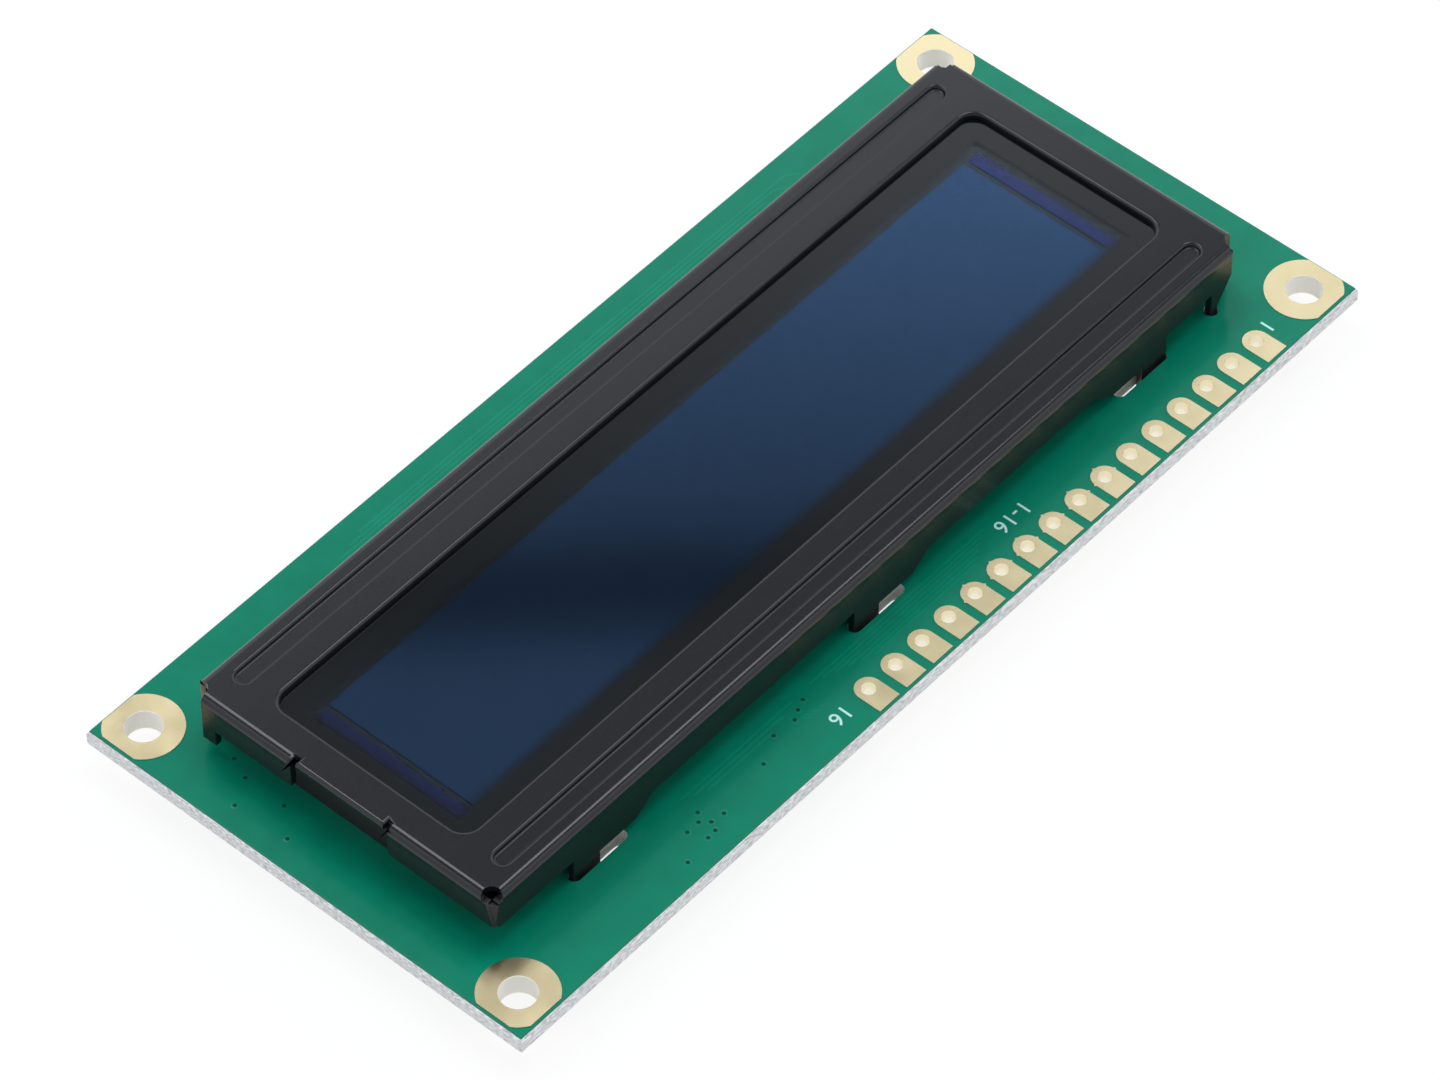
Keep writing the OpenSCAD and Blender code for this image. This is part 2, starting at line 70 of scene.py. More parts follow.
def put(tree, kind, inputs=None, **settings):
    """Adds a node, with values or links for its inputs."""
    made = tree.nodes.new(kind)
    for name, value in settings.items():
        setattr(made, name, value)
    for key, value in (inputs or {}).items():
        if isinstance(value, bpy.types.NodeSocket):
            tree.links.new(value, made.inputs[key])
        else:
            made.inputs[key].default_value = value
    return made


def math_of(tree, operation, a, b=0.0):
    """One sum, product or comparison."""
    return put(tree, "ShaderNodeMath", {0: a, 1: b}, operation=operation).outputs[0]


def spread(tree, value, low, high, to_low, to_high):
    """A value mapped from one range to another, held at its ends."""
    return put(tree, "ShaderNodeMapRange", {
        "Value": value, "From Min": low, "From Max": high, "To Min": to_low, "To Max": to_high,
    }).outputs[0]


def blend_colour(tree, share, a, b, how="MIX"):
    """Two colours mixed by a share."""
    return put(tree, "ShaderNodeMix", {0: share, 6: a, 7: b}, data_type="RGBA", blend_type=how).outputs[2]


def rgb(r, g, b):
    return (r, g, b, 1.0)


def tone_of(tree, share, tones):
    """A colour between the two tones of one finish."""
    return blend_colour(tree, share, rgb(*tones[0]), rgb(*tones[1]))


def place_on(tree):
    """Where a point lies on the object, as X, Y and Z."""
    return put(tree, "ShaderNodeSeparateXYZ", {0: put(tree, "ShaderNodeTexCoord").outputs["Object"]}).outputs


def turn_of(tree):
    """How a face is turned, as X, Y and Z of its normal."""
    surface = put(tree, "ShaderNodeNewGeometry")
    return put(tree, "ShaderNodeSeparateXYZ", {0: surface.outputs["True Normal"]}).outputs


def off_middle(tree, value, middle):
    """Distance of a place from a middle."""
    return math_of(tree, "ABSOLUTE", math_of(tree, "SUBTRACT", value, middle))


grain = bpy.data.node_groups.new("grain", "ShaderNodeTree")
for name, kind, start in (("Scale", "NodeSocketFloat", 1000.0), ("Stretch", "NodeSocketVector", (1, 1, 1))):
    grain.interface.new_socket(name, in_out="INPUT", socket_type=kind).default_value = start
for name in ("Fine", "Broad"):
    grain.interface.new_socket(name, in_out="OUTPUT", socket_type="NodeSocketFloat")
grain_in = grain.nodes.new("NodeGroupInput")
grain_at = put(grain, "ShaderNodeMapping", {
    "Vector": put(grain, "ShaderNodeTexCoord").outputs["Object"], "Scale": grain_in.outputs["Stretch"],
})
grain_fine = put(grain, "ShaderNodeTexNoise", {
    "Vector": grain_at.outputs[0], "Scale": grain_in.outputs["Scale"], "Detail": 4.0, "Roughness": 0.6,
})
grain_broad = put(grain, "ShaderNodeTexNoise", {
    "Vector": grain_at.outputs[0], "Scale": math_of(grain, "MULTIPLY", grain_in.outputs["Scale"], 0.06),
    "Detail": 2.0, "Roughness": 0.5,
})
put(grain, "NodeGroupOutput", {"Fine": grain_fine.outputs[0], "Broad": grain_broad.outputs[0]})


def start_finish(name, scale, **values):
    """A material with its own grain, ready for the nodes that make it one finish."""
    made = bpy.data.materials.new(name)
    made.use_nodes = True
    tree = made.node_tree
    shader = tree.nodes["Principled BSDF"]
    for key, value in values.items():
        shader.inputs[key.replace("_", " ")].default_value = value
    texture = put(tree, "ShaderNodeGroup", node_tree=grain)
    texture.inputs["Scale"].default_value = scale
    texture.inputs["Stretch"].default_value = (1, 1, 1)
    return made, tree, shader, texture.outputs


def tint(tree, shader, share, tones):
    """Colours a finish between its two tones."""
    tree.links.new(tone_of(tree, share, tones), shader.inputs["Base Color"])


def bump(tree, shader, height, depth, strength=1.0):
    """Relief of the given depth in metres on a finish."""
    made = put(tree, "ShaderNodeBump", {"Height": height, "Distance": depth, "Strength": strength})
    tree.links.new(made.outputs[0], shader.inputs["Normal"])


def dress(node, finish):
    """Gives a CAD node its finish."""
    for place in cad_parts[node].material_slots:
        place.material = finish


board_mask, tree, shader, texture = start_finish("board_mask", 9000.0, IOR=MASK_INDEX)
level = math_of(tree, "ABSOLUTE", turn_of(tree)["Z"])
place = place_on(tree)
near_face = math_of(tree, "GREATER_THAN", off_middle(tree, place["Z"], BOARD_MID_Z), BOARD_HALF_T - EDGE_COAT)
on_slope = math_of(tree, "MULTIPLY", near_face, math_of(tree, "GREATER_THAN", level, SLOPE_LEVEL))
coated = math_of(tree, "MAXIMUM", on_slope, math_of(tree, "GREATER_THAN", level, FACE_LEVEL))
bare = spread(tree, coated, 0, 1, 1, 0)
out_x = math_of(tree, "DIVIDE", math_of(tree, "ABSOLUTE", place["X"]), BOARD_HIGH.x)
out_y = math_of(tree, "DIVIDE", math_of(tree, "ABSOLUTE", place["Y"]), BOARD_HIGH.y)
in_hole = math_of(tree, "LESS_THAN", math_of(tree, "MAXIMUM", out_x, out_y), EDGE_FROM)
fibre = put(tree, "ShaderNodeGroup", {"Scale": 6500.0, "Stretch": (0.4, 0.4, 1.8)}, node_tree=grain).outputs
mask_tone = tone_of(tree, texture["Broad"], MASK_GREENS)
edge_tone = tone_of(tree, spread(tree, fibre["Fine"], *FIBRE_SPAN, 0, 1), EDGE_FIBRES)
# The walls of the cut holes take a paler fibre tone than the outer edges: painted light against the shade
# inside the holes.
hole_painted_light_tone = tone_of(tree, fibre["Fine"], HOLE_FIBRES_PAINTED_LIGHT)
fibre_tone = blend_colour(tree, in_hole, edge_tone, hole_painted_light_tone)
tree.links.new(blend_colour(tree, coated, fibre_tone, mask_tone), shader.inputs["Base Color"])
tree.links.new(spread(tree, coated, 0, 1, FIBRE_ROUGH, MASK_ROUGH), shader.inputs["Roughness"])
fibre_relief = math_of(tree, "MULTIPLY", bare, spread(tree, in_hole, 0, 1, 1, HOLE_RIPPLE))
relief = math_of(tree, "ADD", math_of(tree, "MULTIPLY", texture["Broad"], MASK_RIPPLE),
                 math_of(tree, "MULTIPLY", fibre["Fine"], fibre_relief))
bump(tree, shader, relief, FIBRE_DEEP, FIBRE_STRENGTH)
dress("circuit_board", board_mask)

# Copper tracks: etched foil under the mask, which shows as slightly raised and paler lines.
# They lie side by side in lanes along the two long margins of the board.
TRACK_W = 0.22 * MM
TRACK_CROWN = 0.17 * MM
TRACK_H = 0.012 * MM
TRACK_GREENS = (0.001, 0.203, 0.119), (0.002, 0.257, 0.153)
track_paths = []
for lanes, first_y, pitch, start, start_step, stop, stop_step in ((6, 12.95, 0.30, -8.5, 0.5, 8.2, -0.9),
                                                                  (3, 13.05, 0.36, 9.9, 1.3, 20.2, -0.8)):
    for lane in range(lanes):
        y = first_y + pitch * lane
        track_paths.append([(start + start_step * lane, y), (stop + stop_step * lane, y)])
for lane in range(9):
    x = -12.0 - 1.4 * lane
    y = -13.75 - 0.32 * lane
    track_paths.append([(x - 0.8, y + 0.6), (x, y), (27.0 - 1.2 * lane, y)])
for lane in range(3):
    x = 9.3 + 0.35 * lane
    track_paths.append([(x, 14.9), (x + 0.6, 14.3)])
track_lines = bpy.data.curves.new("track_lines", "CURVE")
track_lines.dimensions = "3D"
for path in track_paths:
    line = track_lines.splines.new("POLY")
    line.points.add(len(path) - 1)
    for point, (x, y) in zip(line.points, path):
        point.co = (x * MM, y * MM, BOARD_TOP, 1)

track_green, tree, shader, texture = start_finish("track_green", 9000.0, IOR=MASK_INDEX, Roughness=MASK_ROUGH)
tint(tree, shader, texture["Broad"], TRACK_GREENS)


def start_growth(name, sizes):
    """A geometry tree with its geometry sockets and one named input for each size."""
    tree = bpy.data.node_groups.new(name, "GeometryNodeTree")
    tree.is_modifier = True
    tree.interface.new_socket("Geometry", in_out="INPUT", socket_type="NodeSocketGeometry")
    settings = {}
    for title, size in sizes:
        made = tree.interface.new_socket(title, in_out="INPUT", socket_type="NodeSocketFloat")
        settings[made.identifier] = size
    tree.interface.new_socket("Geometry", in_out="OUTPUT", socket_type="NodeSocketGeometry")
    return tree, settings, tree.nodes.new("NodeGroupInput").outputs


track_tree, track_sizes, given = start_growth("lay_tracks", (
    ("Track width", TRACK_W), ("Crown width", TRACK_CROWN), ("Track height", TRACK_H)))
upright = put(track_tree, "GeometryNodeSetCurveNormal", {"Curve": given["Geometry"]}, mode="Z_UP")
profile = put(track_tree, "GeometryNodeCurvePrimitiveQuadrilateral", {
    "Bottom Width": given["Crown width"], "Top Width": given["Track width"],
    "Height": given["Track height"], "Offset": 0.0,
}, mode="TRAPEZOID")
swept = put(track_tree, "GeometryNodeCurveToMesh", {
    "Curve": upright.outputs[0], "Profile Curve": profile.outputs[0], "Fill Caps": True,
})
flat_sided = put(track_tree, "GeometryNodeSetShadeSmooth", {
    "Geometry": swept.outputs[0], "Shade Smooth": False,
})
painted = put(track_tree, "GeometryNodeSetMaterial", {
    "Geometry": put(track_tree, "GeometryNodeRealizeInstances", {0: flat_sided.outputs[0]}).outputs[0],
    "Material": track_green,
})
put(track_tree, "NodeGroupOutput", {"Geometry": painted.outputs[0]})


def plain_mesh(name, source):
    """The evaluated shape of an object as a plain mesh object at the origin."""
    bpy.context.view_layer.update()
    graph = bpy.context.evaluated_depsgraph_get()
    shape = bpy.data.meshes.new_from_object(source.evaluated_get(graph))
    shape.transform(source.matrix_world)
    bpy.data.objects.remove(source)
    made = bpy.data.objects.new(name, shape)
    bpy.context.collection.objects.link(made)
    return made


def grow(name, data, tree, sizes):
    """Runs a geometry tree on a curve or mesh and returns the result as a plain mesh object."""
    seed = bpy.data.objects.new(name + "_seed", data)
    bpy.context.collection.objects.link(seed)
    step = seed.modifiers.new(tree.name, "NODES")
    step.node_group = tree
    for identifier, size in sizes.items():
        step[identifier] = size
    return plain_mesh(name, seed)


def add_piece(piece):
    """A new piece of the object: it belongs to the one body and takes its finish from a slot."""
    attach(piece, "root")


tracks = grow("tracks", track_lines, track_tree, track_sizes)
add_piece(tracks)

# Vias: plated holes that carry a track to the other face, closed by the mask.
# Each shows as a small collar with a dark dimple in its middle; the dimple's dark colour is painted shade for
# the hole.
COLLAR_R = 0.27 * MM
DIMPLE_R = 0.19 * MM
DIMPLE_TAPER = 0.7
DIMPLE_RISE = 1.3
VIA_H = 0.005 * MM
VIA_SIDES = 20
VIA_PAINTED_SHADE_GREENS = (0.001, 0.042, 0.024), (0.002, 0.062, 0.036)
via_places = [
    (19.25, 15.73), (20.25, 15.58), (20.58, 16.20), (21.29, 16.25), (20.77, 15.02), (21.81, 15.02),
    (20.25, 14.48), (23.52, 16.58), (14.79, 15.02), (10.92, 14.18), (10.19, 13.81), (9.38, 13.50),
    (12.71, 14.02), (38.04, -2.87), (38.26, -7.06), (36.33, -4.78), (36.29, -8.07), (35.66, -9.60),
]
via_points = bpy.data.meshes.new("via_points")
via_points.from_pydata([(x * MM, y * MM, BOARD_TOP) for x, y in via_places], [], [])

# The dimple's dark green is painted shade, for the via's hole that the mesh does not cut.
via_painted_shade, tree, shader, texture = start_finish("via_painted_shade", 12000.0, IOR=1.2, Roughness=0.4)
tint(tree, shader, texture["Fine"], VIA_PAINTED_SHADE_GREENS)

via_tree, via_sizes, given = start_growth("set_vias", (
    ("Collar radius", COLLAR_R), ("Dimple radius", DIMPLE_R), ("Height", VIA_H)))
collar = put(via_tree, "GeometryNodeMeshCone", {
    "Vertices": VIA_SIDES, "Radius Bottom": given["Collar radius"], "Radius Top": given["Dimple radius"],
    "Depth": given["Height"],
})
dimple = put(via_tree, "GeometryNodeMeshCone", {
    "Vertices": VIA_SIDES, "Radius Bottom": given["Dimple radius"],
    "Radius Top": math_of(via_tree, "MULTIPLY", given["Dimple radius"], DIMPLE_TAPER),
    "Depth": math_of(via_tree, "MULTIPLY", given["Height"], DIMPLE_RISE),
})
via_shape = put(via_tree, "GeometryNodeJoinGeometry")
for shape, finish in ((collar, track_green), (dimple, via_painted_shade)):
    coloured = put(via_tree, "GeometryNodeSetMaterial", {
        "Geometry": shape.outputs["Mesh"], "Material": finish,
    })
    via_tree.links.new(coloured.outputs[0], via_shape.inputs[0])
via_set = put(via_tree, "GeometryNodeInstanceOnPoints", {
    "Points": given["Geometry"], "Instance": via_shape.outputs[0],
})
put(via_tree, "NodeGroupOutput", {
    "Geometry": put(via_tree, "GeometryNodeRealizeInstances", {0: via_set.outputs[0]}).outputs[0],
})
vias = grow("vias", via_points, via_tree, via_sizes)
add_piece(vias)

# Printed numbers: white ink screened on the mask beside the pin row.
# Plain figures mark the first and the last pin, and the span of the row.
FIGURE_H = 1.05 * MM
FIGURE_SHARE = 0.70
FIGURE_GAP = 1.08
INK_T = 0.006 * MM
INK_SWELL = 0.008 * MM
INK_LIFT = 0.004 * MM
INK_GRAIN = 0.01 * MM
INK_WHITES = (0.38, 0.66, 0.60), (0.56, 0.96, 0.90)
ink_white, tree, shader, texture = start_finish("ink_white", 16000.0, Roughness=0.6)
tint(tree, shader, texture["Fine"], INK_WHITES)
bump(tree, shader, texture["Fine"], INK_GRAIN)
for name, words, x, y in (("print_first", "1", -33.86, 15.18), ("print_last", "16", 8.05, 15.60),
                          ("print_span", "1-16", -11.85, 13.25)):
    letters = bpy.data.curves.new(name + "_letters", "FONT")
    letters.body = words
    letters.size = FIGURE_H / FIGURE_SHARE
    letters.extrude = INK_T
    letters.offset = INK_SWELL
    letters.space_character = FIGURE_GAP
    line = bpy.data.objects.new(name + "_seed", letters)
    line.location = (x * MM, y * MM, BOARD_TOP + INK_LIFT)
    bpy.context.collection.objects.link(line)
    figures = plain_mesh(name, line)
    figures.data.materials.clear()
    figures.data.materials.append(ink_white)
    add_piece(figures)

# Plated lands and rings: copper with a thin coat of gold, round the pin holes and the mounting holes.
# They are grown on the board's faces, and the pins' lands run through their holes as barrels, whose gold is
# painted paler as painted light.
LAND_GOLDS = (0.87, 0.725, 0.41), (0.92, 0.785, 0.49)
# The barrels' paler gold is painted light against the shade inside the holes, not a different plating.
BARREL_GOLD_PAINTED_LIGHT = (0.96, 0.91, 0.76)
GOLD_ROUGH = 0.17, 0.22
GRAIN_SPAN = 0.3, 0.7
GOLD_GRAIN = 0.0010 * MM
gold, tree, shader, texture = start_finish("gold", 7000.0, Metallic=1.0)
# Upright faces, the barrels, get the paler gold as painted light.
flat = math_of(tree, "GREATER_THAN", math_of(tree, "ABSOLUTE", turn_of(tree)["Z"]), 0.5)
land_tone = tone_of(tree, texture["Broad"], LAND_GOLDS)
tree.links.new(blend_colour(tree, flat, rgb(*BARREL_GOLD_PAINTED_LIGHT), land_tone), shader.inputs["Base Color"])
tree.links.new(spread(tree, texture["Broad"], *GRAIN_SPAN, *GOLD_ROUGH), shader.inputs["Roughness"])
bump(tree, shader, texture["Fine"], GOLD_GRAIN)
for node in ("connector_lands", "mounting_rings"):
    dress(node, gold)

# Bezel: one steel sheet, punched, beaded and folded over the panel, and painted satin black.
# The paint is sprayed from above and lies drier and duller down the walls.
# Its tabs pass through slots in the board and are twisted behind it, which clamps the stack.
BEZEL_MID = Vector((0.60, -0.20)) * MM
BEZEL_HALF = Vector((35.55, 12.55)) * MM
BEZEL_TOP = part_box("bezel")[1].z
BEAD_INSET = 1.9 * MM
BEAD_REACH = 0.7 * MM
BEAD_DEEP = 0.32 * MM
FACE_DEEP = 0.01 * MM
RIM_OUTER = 2 * MM
CORNER_CUT = 1.2 * MM
ROUNDING = 0.20 * MM
ROUNDING_STEPS = 4
SHARP = math.radians(35)
SAME_POINT = 0.002 * MM
SAME_PLANE = math.radians(0.5)
BEAD_FACE_SHARE = 0.75
BEAD_FLOOR_SHARE = 0.45
WINDOW_SHARE = 1.3
CORNER_SHARE = 0.1
OTHER_SHARE = 0.35
FLAT_TURN = math.radians(40)
TOP_CROWN = 0.027
PAINT_BLACKS = (0.0056, 0.0053, 0.0069), (0.0082, 0.0078, 0.0098)
PAINT_ROUGH = 0.15, 0.19
PAINT_GRAIN = 0.0015 * MM
DRY_START = 0.5 * MM
DRY_FULL = 1.2 * MM
DRY_DULL = 0.16
bezel_paint, tree, shader, texture = start_finish("bezel_paint", 6500.0, IOR=1.46)
tint(tree, shader, texture["Broad"], PAINT_BLACKS)
dry = spread(tree, place_on(tree)["Z"], BEZEL_TOP - DRY_FULL, BEZEL_TOP - DRY_START, DRY_DULL, 0)
satin = spread(tree, texture["Fine"], *GRAIN_SPAN, *PAINT_ROUGH)
tree.links.new(math_of(tree, "ADD", satin, dry), shader.inputs["Roughness"])
bump(tree, shader, texture["Fine"], PAINT_GRAIN)

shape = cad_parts["bezel"].data.copy()
sheet = bmesh.new()
sheet.from_mesh(shape)
bmesh.ops.remove_doubles(sheet, verts=sheet.verts, dist=SAME_POINT)
bmesh.ops.dissolve_limit(sheet, angle_limit=SAME_PLANE, verts=sheet.verts, edges=sheet.edges,
                         delimit={"NORMAL"})
top = max(point.co.z for point in sheet.verts)


def rounding_share(ends):
    """How much of the full rounding an edge gets, from the place of its ends below the bezel's top."""
    on_face = all(deep < FACE_DEEP for x, y, deep in ends)
    if all(abs(BEZEL_HALF.y - BEAD_INSET - y) < BEAD_REACH and deep < BEAD_DEEP for x, y, deep in ends):
        return BEAD_FACE_SHARE if on_face else BEAD_FLOOR_SHARE
    if on_face and all(y < BEZEL_HALF.y - RIM_OUTER for x, y, deep in ends):
        return WINDOW_SHARE
    if all(x > BEZEL_HALF.x - CORNER_CUT and y > BEZEL_HALF.y - CORNER_CUT for x, y, deep in ends):
        return CORNER_SHARE
    return OTHER_SHARE


softness = sheet.edges.layers.float.new("bevel_weight_edge")
for edge in sheet.edges:
    if edge.calc_face_angle(0) >= SHARP:
        edge[softness] = rounding_share([
            (abs(point.co.x - BEZEL_MID.x), abs(point.co.y - BEZEL_MID.y), top - point.co.z)
            for point in edge.verts])
sheet.to_mesh(shape)
sheet.free()
shape.materials.clear()
shape.materials.append(bezel_paint)
folded = bpy.data.objects.new("folded_bezel_seed", shape)
bpy.context.collection.objects.link(folded)
rounding = folded.modifiers.new("rounding", "BEVEL")
rounding.width = ROUNDING
rounding.segments = ROUNDING_STEPS
rounding.limit_method = "WEIGHT"
rounding.use_clamp_overlap = False
bezel = plain_mesh("folded_bezel", folded)


def shade_flats(shape, turn, crown):
    """Keeps large flats plain, lets the roundings between them run smoothly and crowns the top a little."""
    facing = [face.normal.copy() for face in shape.polygons]
    weight = [(face.area / MM ** 2) ** 2 for face in shape.polygons]
    around = [[] for _ in shape.vertices]
    for face in shape.polygons:
        face.use_smooth = True
        for corner in face.vertices:
            around[corner].append(face.index)
    normals = []
    for face in shape.polygons:
        for corner in face.vertices:
            normal = Vector()
            for other in around[corner]:
                if facing[other].dot(facing[face.index]) > math.cos(turn):
                    normal += facing[other] * weight[other]
            normal.normalize()
            if normal.z > 0.999:
                normal.y += crown * (shape.vertices[corner].co.y - BEZEL_MID.y) / BEZEL_HALF.y
            normals.append(normal.normalized())
    shape.normals_split_custom_set(normals)


shade_flats(bezel.data, FLAT_TURN, TOP_CROWN)
add_piece(bezel)
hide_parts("bezel")

# Paint in the seams: the same black paint, which ran into the slanted seam of the two closed corners.
# It dried there a little behind the sheet's faces, and the round relief above it stays open.
SEAM_SLANT = 0.56 / 1.9
SEAM_END = 2.5 * MM
RUN_TOP = 0.8 * MM
RUN_LOW = 2.4 * MM
RUN_FRONT = 0.22 * MM
RUN_BACK = 0.55 * MM
RUN_FIT = 0.01 * MM


def mesh_piece(name, made, finish):
    """A bmesh as a plain mesh object with one finish."""
    shape = bpy.data.meshes.new(name)
    made.to_mesh(shape)
    made.free()
    shape.materials.append(finish)
    piece = bpy.data.objects.new(name, shape)
    bpy.context.collection.objects.link(piece)
    return piece


runs = bmesh.new()
for side in (1, -1):
    points = []
    for deep in (RUN_TOP, RUN_LOW):
        cut = SEAM_SLANT * (SEAM_END - deep) - RUN_FIT
        for inset, back in ((RUN_FRONT, cut), (RUN_BACK, cut), (RUN_BACK, RUN_FIT)):
            points.append(runs.verts.new((BEZEL_MID.x + side * (BEZEL_HALF.x - inset),
                                          BEZEL_MID.y + side * (BEZEL_HALF.y - back), top - deep)))
    bmesh.ops.convex_hull(runs, input=points)
seam_paint = mesh_piece("seam_paint", runs, bezel_paint)
add_piece(seam_paint)

# Polariser: the dark film that is seen in the window, with a black border printed round the view.
# It is glued on the front glass. Light passes it and is thrown back by the sheets below.
OPEN_MID = Vector((0.98, -0.02)) * MM
OPEN_HALF = Vector((31.32, 6.02)) * MM
OPEN_FADE = 0.45 * MM
POLARISER_STOPS = 0.50
POLARISER_DARKS = (0.0010, 0.0010, 0.0012), (0.0020, 0.0020, 0.0024)
BORDER_DARKS = (0.0020, 0.0035, 0.0050), (0.0032, 0.0048, 0.0064)
BORDER_SHINE = 0.5
polariser_film, tree, shader, texture = start_finish("polariser_film", 4000.0, Roughness=0.06, IOR=1.46)
place = place_on(tree)
past_x = math_of(tree, "SUBTRACT", off_middle(tree, place["X"], OPEN_MID.x), OPEN_HALF.x)
past_y = math_of(tree, "SUBTRACT", off_middle(tree, place["Y"], OPEN_MID.y), OPEN_HALF.y)
printed = spread(tree, math_of(tree, "MAXIMUM", past_x, past_y), -OPEN_FADE, OPEN_FADE, 0, 1)
outside = math_of(tree, "SUBTRACT", 1.0, put(tree, "ShaderNodeNewGeometry").outputs["Backfacing"])
on_front = math_of(tree, "GREATER_THAN", math_of(tree, "MULTIPLY", turn_of(tree)["Z"], outside), 0.5)
border = math_of(tree, "MULTIPLY", printed, on_front)
dark = tone_of(tree, texture["Broad"], POLARISER_DARKS)
ink = tone_of(tree, texture["Fine"], BORDER_DARKS)
tree.links.new(blend_colour(tree, border, dark, ink), shader.inputs["Base Color"])
stopped = spread(tree, border, 0, 1, POLARISER_STOPS, 1)
tree.links.new(math_of(tree, "MULTIPLY", outside, stopped), shader.inputs["Alpha"])
tree.links.new(math_of(tree, "MULTIPLY", border, BORDER_SHINE), shader.inputs["Specular IOR Level"])
dress("polariser", polariser_film)

# Front glass: the clear sheet that carries the electrodes on its back, clamped under the bezel's face.
# The film is bonded to it, so it has no shine of its own.
GLASS_STOPS = 0.03
GLASS_DARKS = (0.002, 0.003, 0.003), (0.003, 0.004, 0.004)
clear_glass, tree, shader, texture = start_finish("clear_glass", 4000.0, Roughness=0.05,
                                                  Specular_IOR_Level=0.0)
tint(tree, shader, texture["Broad"], GLASS_DARKS)
outside = math_of(tree, "SUBTRACT", 1.0, put(tree, "ShaderNodeNewGeometry").outputs["Backfacing"])
tree.links.new(math_of(tree, "MULTIPLY", outside, GLASS_STOPS), shader.inputs["Alpha"])
dress("front_glass", clear_glass)

# Electrodes and lead bands: thin metal films laid on the back of the front glass.
# The field is a blue mirror, and the bands at its two short ends are indigo.
FIELD_BLUES = (0.160, 0.325, 0.625), (0.172, 0.345, 0.675)
BAND_INDIGOS = (0.172, 0.214, 0.495), (0.186, 0.250, 0.605)
for node, blues in (("electrode_field", FIELD_BLUES), ("lead_bands", BAND_INDIGOS)):
    film, tree, shader, texture = start_finish(node + "_film", 3000.0, Metallic=1.0, Roughness=0.04)
    tint(tree, shader, texture["Broad"], blues)
    dress(node, film)

# Coat behind the electrodes: a thin dark layer inside the ring of the seal.
# It shines faintly where the field and its bands leave the glass clear.
COAT_T = 0.010 * MM
COAT_FIT = 0.002 * MM
SEAL_W = 1.25 * MM
COAT_GREYS = (0.21, 0.26, 0.30), (0.23, 0.28, 0.32)
coat_black, tree, shader, texture = start_finish("coat_black", 5000.0, Roughness=0.05, Metallic=1.0)
tint(tree, shader, texture["Fine"], COAT_GREYS)
low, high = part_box("edge_seal")
coat_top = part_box("electrode_field")[0].z - COAT_FIT
coat_mid = Vector(((low.x + high.x) / 2, (low.y + high.y) / 2, coat_top - COAT_T / 2))
coat_size = Vector((high.x - low.x - 2 * SEAL_W, high.y - low.y - 2 * SEAL_W, COAT_T))
slab = bmesh.new()
bmesh.ops.create_cube(slab, size=1.0, matrix=Matrix.LocRotScale(coat_mid, None, coat_size))
coat = mesh_piece("electrode_coat", slab, coat_black)
add_piece(coat)

# Encapsulation: a resin seal, a dark cover glass with a ground pocket and a desiccant sheet in it.
# It is glued to the back of the front glass and keeps moisture from the electrodes.
RESIN_BLACKS = (0.002, 0.002, 0.003), (0.004, 0.004, 0.005)
DRIER_WHITES = (0.60, 0.60, 0.57), (0.72, 0.72, 0.70)
for node, tones, rough, index in (("edge_seal", RESIN_BLACKS, 0.05, 2.36),
                                  ("cover_glass", RESIN_BLACKS, 0.05, 1.5),
                                  ("desiccant_sheet", DRIER_WHITES, 0.8, 1.5)):
    backing, tree, shader, texture = start_finish(node + "_finish", 5000.0, Roughness=rough, IOR=index)
    tint(tree, shader, texture["Fine"], tones)
    dress(node, backing)

# Contact strips and their frame: black moulded plastic that stands on the board under the bezel.
# It holds the cover glass and two rubber strips, which press the tracks against the panel.
STRIP_GRAIN = 0.015 * MM
HOLDER_BLACKS = (0.010, 0.010, 0.010), (0.018, 0.018, 0.018)
RUBBER_GREYS = (0.035, 0.035, 0.036), (0.060, 0.060, 0.060)
for node, tones, rough in (("elastomer_holder", HOLDER_BLACKS, 0.55),
                           ("elastomer_strips", RUBBER_GREYS, 0.75)):
    backing, tree, shader, texture = start_finish(node + "_finish", 8000.0, Roughness=rough)
    tint(tree, shader, texture["Fine"], tones)
    bump(tree, shader, texture["Fine"], STRIP_GRAIN)
    dress(node, backing)

# Parts on the back: resin over the controller, chip parts, and a small supply.
# Resin is poured, the rest is soldered, with tinned ends and leads on the board.
ROUGH_PLAY = 0.06
for names, low, high, rough, metal, deep in (
        (("controller_glob",), (0.006, 0.006, 0.006), (0.014, 0.014, 0.013), 0.42, 0.0, 0.02),
        (("resistor_bodies",), (0.008, 0.008, 0.010), (0.020, 0.020, 0.022), 0.35, 0.0, 0.01),
        (("capacitor_bodies",), (0.27, 0.17, 0.09), (0.38, 0.25, 0.14), 0.5, 0.0, 0.01),
        (("converter_body", "diode_body"), (0.010, 0.010, 0.011), (0.022, 0.022, 0.024), 0.55, 0.0, 0.015),
        (("inductor_core",), (0.025, 0.025, 0.028), (0.050, 0.050, 0.054), 0.6, 0.0, 0.015),
        (("inductor_winding",), (0.42, 0.16, 0.06), (0.60, 0.26, 0.10), 0.3, 0.9, 0.01),
        (("resistor_ends", "capacitor_ends", "inductor_terminals", "converter_leads", "diode_leads"),
         (0.60, 0.60, 0.58), (0.78, 0.78, 0.76), 0.32, 1.0, 0.008)):
    finish, tree, shader, texture = start_finish(names[0] + "_finish", 7000.0, Metallic=metal)
    tint(tree, shader, texture["Fine"], (low, high))
    uneven = spread(tree, texture["Broad"], *GRAIN_SPAN, rough - ROUGH_PLAY, rough + ROUGH_PLAY)
    tree.links.new(uneven, shader.inputs["Roughness"])
    bump(tree, shader, texture["Fine"], deep * MM)
    for node in names:
        dress(node, finish)

